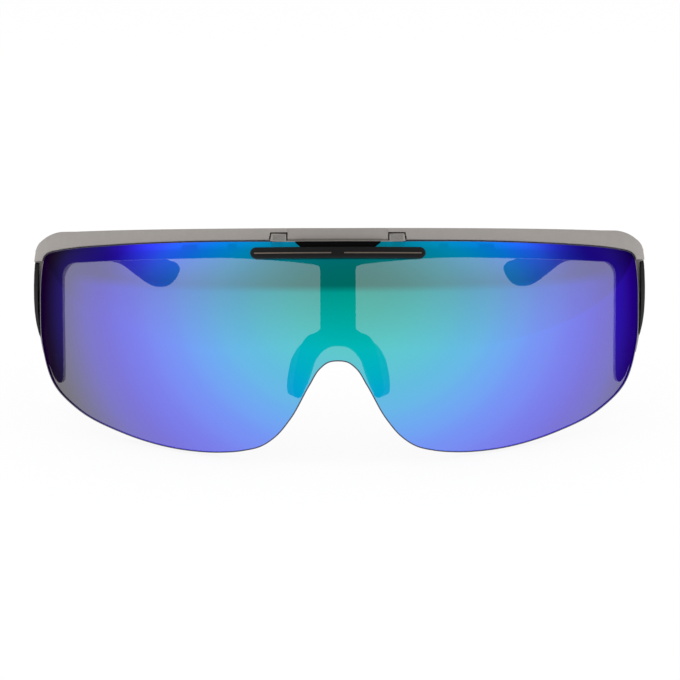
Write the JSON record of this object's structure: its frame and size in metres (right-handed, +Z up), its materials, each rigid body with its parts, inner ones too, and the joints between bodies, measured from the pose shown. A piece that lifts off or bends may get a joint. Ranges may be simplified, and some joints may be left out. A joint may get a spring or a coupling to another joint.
{
  "type": "sunglasses",
  "caption": "Flip-up sport sunglasses with a wide mirrored shield lens that pivots up at the brow of a grey front frame, a rubber nose saddle and folding temples with rubber tips.",
  "frame": {"origin": "on the table, midway between the lens's front and the temple tips' ends, on the plane of symmetry", "axes": "+X to the wearer's left, +Y from the lens towards the ears, +Z up; the glasses stand on the lens's lower edge and the temple tips"},
  "size_m": [0.1482, 0.1656, 0.0518],
  "materials": {
    "grey_plastic": "matte warm grey injection-moulded nylon",
    "mirrored_lens": "glossy polycarbonate with a mirror coat from teal through blue to violet over a smoke tint",
    "black_plastic": "satin black",
    "black_insert": "satin black",
    "satin_strip": "satin metallic",
    "soft_rubber": "matte soft-touch rubber",
    "hinge_metal": "satin nickel silver",
    "steel": "turned stainless steel"
  },
  "bodies": {
    "front": {"front_frame": "grey_plastic", "nose_saddle": "soft_rubber", "lens_bumpers": "soft_rubber", "flip_pins": "steel", "hinge_leaf_frame_left": "hinge_metal", "hinge_leaf_frame_right": "hinge_metal", "frame_leaf_screws": "steel", "hinge_screw_left": "steel", "hinge_screw_right": "steel"},
    "lens": {"shield_lens": "mirrored_lens", "lens_carrier": "grey_plastic", "clip_bar": "black_plastic", "inlay_left": "satin_strip", "inlay_right": "satin_strip", "clip_screws": "steel"},
    "temple_left": {"temple_arm_left": "grey_plastic", "side_insert_left": "black_insert", "temple_tip_left": "soft_rubber", "hinge_leaf_temple_left": "hinge_metal", "temple_leaf_screws_left": "steel"},
    "temple_right": {"temple_arm_right": "grey_plastic", "side_insert_right": "black_insert", "temple_tip_right": "soft_rubber", "hinge_leaf_temple_right": "hinge_metal", "temple_leaf_screws_right": "steel"}
  },
  "joints": [
    {"name": "lens_flip", "type": "hinge", "parent": "front", "child": "lens", "pos_m": [0, -0.07293, 0.04963], "axis": [-1, 0, 0], "range_deg": [0, 90]},
    {"name": "temple_left_fold", "type": "hinge", "parent": "front", "child": "temple_left", "pos_m": [0.0684, -0.03311, 0.02627], "axis": [0, 0.185, 0.9827], "range_deg": [0, 90]},
    {"name": "temple_right_fold", "type": "hinge", "parent": "front", "child": "temple_right", "pos_m": [-0.0684, -0.03311, 0.02627], "axis": [0, -0.185, -0.9827], "range_deg": [0, 75]}
  ]
}
